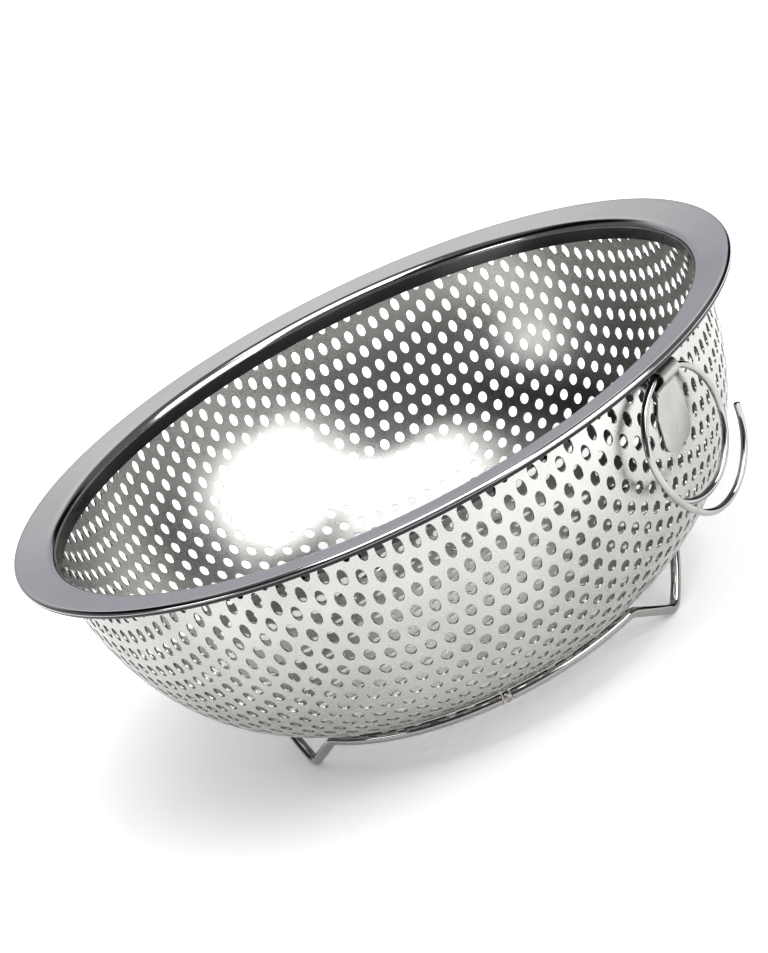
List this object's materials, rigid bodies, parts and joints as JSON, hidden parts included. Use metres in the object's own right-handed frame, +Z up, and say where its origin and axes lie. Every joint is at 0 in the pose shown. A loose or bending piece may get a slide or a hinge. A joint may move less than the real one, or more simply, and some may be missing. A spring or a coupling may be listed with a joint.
{
  "type": "perforated colander",
  "caption": "Round perforated steel bowl with a flanged rim, a bent-wire foot ring and a swinging wire ring to hang it by.",
  "frame": {"origin": "on the bowl's axis, at the level of the surface that the feet stand on", "axes": "+Z up out of the bowl's mouth; the hanging ring and its tab are on the -Y side; +X is to the right when looking at the ring"},
  "size_m": [0.24, 0.24, 0.0937],
  "materials": {
    "satin_sheet": "satin",
    "polished_rim": "polished",
    "bright_wire": "bright drawn wire",
    "weld_bead": "as welded",
    "brushed_strap": "matte brushed"
  },
  "bodies": {
    "colander": {"bowl": "satin_sheet", "rim_ring": "polished_rim", "base_ring": "bright_wire", "base_weld": "weld_bead", "ring_tab": "brushed_strap"},
    "ring": {"hanging_ring": "bright_wire"}
  },
  "joints": [
    {"name": "ring_swing", "type": "hinge", "parent": "colander", "child": "ring", "pos_m": [0, -0.1115, 0.08505], "axis": [-1, 0, 0], "range_deg": [-10, 118]}
  ]
}
